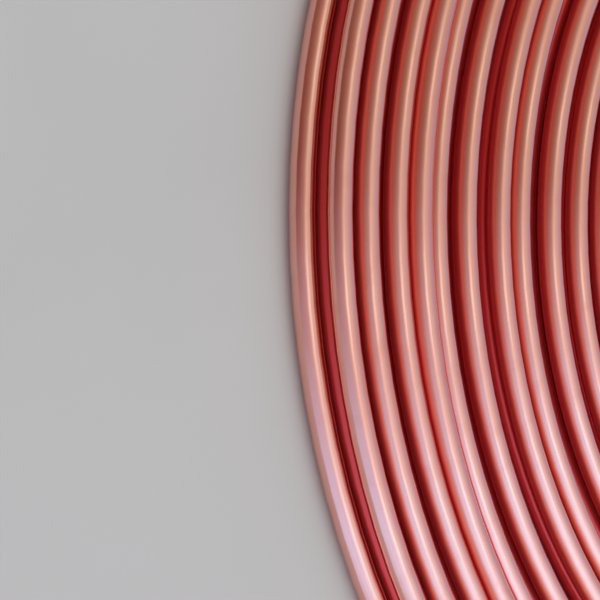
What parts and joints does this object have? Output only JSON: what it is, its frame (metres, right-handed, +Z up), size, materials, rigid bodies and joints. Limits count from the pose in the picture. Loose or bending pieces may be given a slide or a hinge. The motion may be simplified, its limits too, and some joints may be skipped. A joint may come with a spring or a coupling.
{
  "type": "copper tube coil",
  "caption": "Flat coil of bright soft copper tube, wound in layers around an open eye, with its cut ends standing off the outside.",
  "frame": {"origin": "centre of the coil on the floor it lies on", "axes": "+Z up, along the coil's axis; +X towards the corner between the tube's two free ends"},
  "size_m": [0.8152, 0.8152, 0.027],
  "materials": {
    "copper": "polished bright copper"
  },
  "bodies": {
    "root": {"tube_coil": "copper"}
  },
  "joints": []
}
